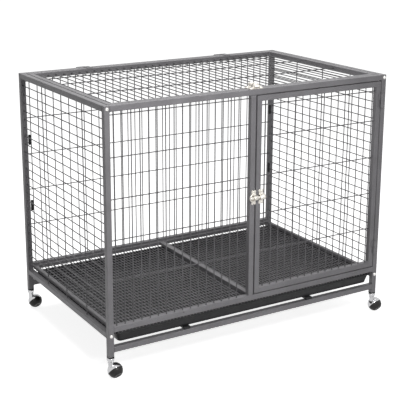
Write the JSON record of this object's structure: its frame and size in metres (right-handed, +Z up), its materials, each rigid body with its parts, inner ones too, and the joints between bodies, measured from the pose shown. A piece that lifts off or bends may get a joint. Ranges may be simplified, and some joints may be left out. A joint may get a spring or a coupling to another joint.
{
  "type": "dog cage",
  "caption": "Welded-tube dog cage on swivel casters with wire panels, a latched front door, a latched top lid, a raised mesh floor and a slide-out tray.",
  "frame": {"origin": "on the ground under the middle of the cage's whole bounding box", "axes": "+X to the right along the front, +Y from the front to the back, +Z up"},
  "size_m": [1.1258, 0.7188, 0.9028],
  "materials": {
    "frame_paint": "satin grey hammered paint",
    "wire_paint": "satin grey paint",
    "mesh_paint": "satin dark grey paint",
    "black_plastic": "satin black plastic",
    "black_rubber": "smooth black tread",
    "chrome": "polished",
    "nickel": "pale satin nickel plate",
    "bright_zinc": "bright zinc plate"
  },
  "bodies": {
    "cage": {"post_front_left": "frame_paint", "post_front_right": "frame_paint", "post_back_left": "frame_paint", "post_back_right": "frame_paint", "top_rail_front": "frame_paint", "top_rail_back": "frame_paint", "top_rail_left": "frame_paint", "top_rail_right": "frame_paint", "bottom_rail_left": "frame_paint", "bottom_rail_right": "frame_paint", "sill_front": "frame_paint", "sill_back": "frame_paint", "low_rail_front": "frame_paint", "low_rail_back": "frame_paint", "centre_post": "frame_paint", "floor_frame": "frame_paint", "post_hinge_low": "frame_paint", "post_hinge_top": "frame_paint", "rail_hinge_left": "frame_paint", "rail_hinge_right": "frame_paint", "net_left": "wire_paint", "net_right": "wire_paint", "net_back": "wire_paint", "net_front": "wire_paint", "floor_mesh_left": "mesh_paint", "floor_mesh_right": "mesh_paint", "tray_runner_left": "black_plastic", "tray_runner_right": "black_plastic", "caster_socket_front_left": "black_plastic", "caster_socket_front_right": "black_plastic", "caster_socket_back_left": "black_plastic", "caster_socket_back_right": "black_plastic", "latch_bracket_front": "nickel", "latch_bracket_top": "nickel", "frame_bolt_low_left": "bright_zinc", "frame_bolt_low_right": "bright_zinc", "frame_bolt_top_left": "bright_zinc", "frame_bolt_top_right": "bright_zinc"},
    "door": {"door_frame": "frame_paint", "door_net": "wire_paint", "door_hinge_low": "frame_paint", "door_hinge_top": "frame_paint", "latch_keeper_front": "nickel"},
    "lid": {"lid_frame": "frame_paint", "lid_net": "wire_paint", "lid_hinge_left": "frame_paint", "lid_hinge_right": "frame_paint", "latch_keeper_top": "nickel"},
    "front_bolt": {"latch_bolt_front": "nickel"},
    "top_bolt": {"latch_bolt_top": "nickel"},
    "tray": {"tray": "black_plastic"},
    "swivel_front_left": {"caster_hood_front_left": "chrome"},
    "wheel_front_left": {"caster_wheel_front_left": "black_rubber"},
    "swivel_front_right": {"caster_hood_front_right": "chrome"},
    "wheel_front_right": {"caster_wheel_front_right": "black_rubber"},
    "swivel_back_left": {"caster_hood_back_left": "chrome"},
    "wheel_back_left": {"caster_wheel_back_left": "black_rubber"},
    "swivel_back_right": {"caster_hood_back_right": "chrome"},
    "wheel_back_right": {"caster_wheel_back_right": "black_rubber"}
  },
  "joints": [
    {"name": "door_hinge", "type": "hinge", "parent": "cage", "child": "door", "pos_m": [0.50994, -0.34593, 0.2545], "axis": [0, 0, 1], "range_deg": [0, 175]},
    {"name": "lid_hinge", "type": "hinge", "parent": "cage", "child": "lid", "pos_m": [-0.01456, 0.34767, 0.8818], "axis": [-1, 0, 0], "range_deg": [0, 170]},
    {"name": "front_latch_slide", "type": "slide", "parent": "cage", "child": "front_bolt", "axis": [-1, 0, 0], "range_m": [0, 0.034]},
    {"name": "top_latch_slide", "type": "slide", "parent": "cage", "child": "top_bolt", "axis": [0, -1, 0], "range_m": [0, 0.033]},
    {"name": "tray_slide", "type": "slide", "parent": "cage", "child": "tray", "axis": [0, -1, 0], "range_m": [0, 0.62]},
    {"name": "caster_swivel_front_left", "type": "hinge", "parent": "cage", "child": "swivel_front_left", "pos_m": [-0.55006, -0.33163, 0.0725], "axis": [0, 0, 1], "continuous": true},
    {"name": "caster_roll_front_left", "type": "hinge", "parent": "swivel_front_left", "child": "wheel_front_left", "pos_m": [-0.53406, -0.33163, 0.02497], "axis": [0.133, -0.7544, -0.6428], "continuous": true},
    {"name": "caster_swivel_front_right", "type": "hinge", "parent": "cage", "child": "swivel_front_right", "pos_m": [0.52094, -0.33163, 0.0725], "axis": [0, 0, 1], "continuous": true},
    {"name": "caster_roll_front_right", "type": "hinge", "parent": "swivel_front_right", "child": "wheel_front_right", "pos_m": [0.53694, -0.33163, 0.02497], "axis": [0.133, -0.7544, -0.6428], "continuous": true},
    {"name": "caster_swivel_back_left", "type": "hinge", "parent": "cage", "child": "swivel_back_left", "pos_m": [-0.55006, 0.33337, 0.0725], "axis": [0, 0, 1], "continuous": true},
    {"name": "caster_roll_back_left", "type": "hinge", "parent": "swivel_back_left", "child": "wheel_back_left", "pos_m": [-0.53406, 0.33337, 0.02497], "axis": [0.133, -0.7544, -0.6428], "continuous": true},
    {"name": "caster_swivel_back_right", "type": "hinge", "parent": "cage", "child": "swivel_back_right", "pos_m": [0.52094, 0.33337, 0.0725], "axis": [0, 0, 1], "continuous": true},
    {"name": "caster_roll_back_right", "type": "hinge", "parent": "swivel_back_right", "child": "wheel_back_right", "pos_m": [0.53694, 0.33337, 0.02497], "axis": [0.133, -0.7544, -0.6428], "continuous": true}
  ]
}
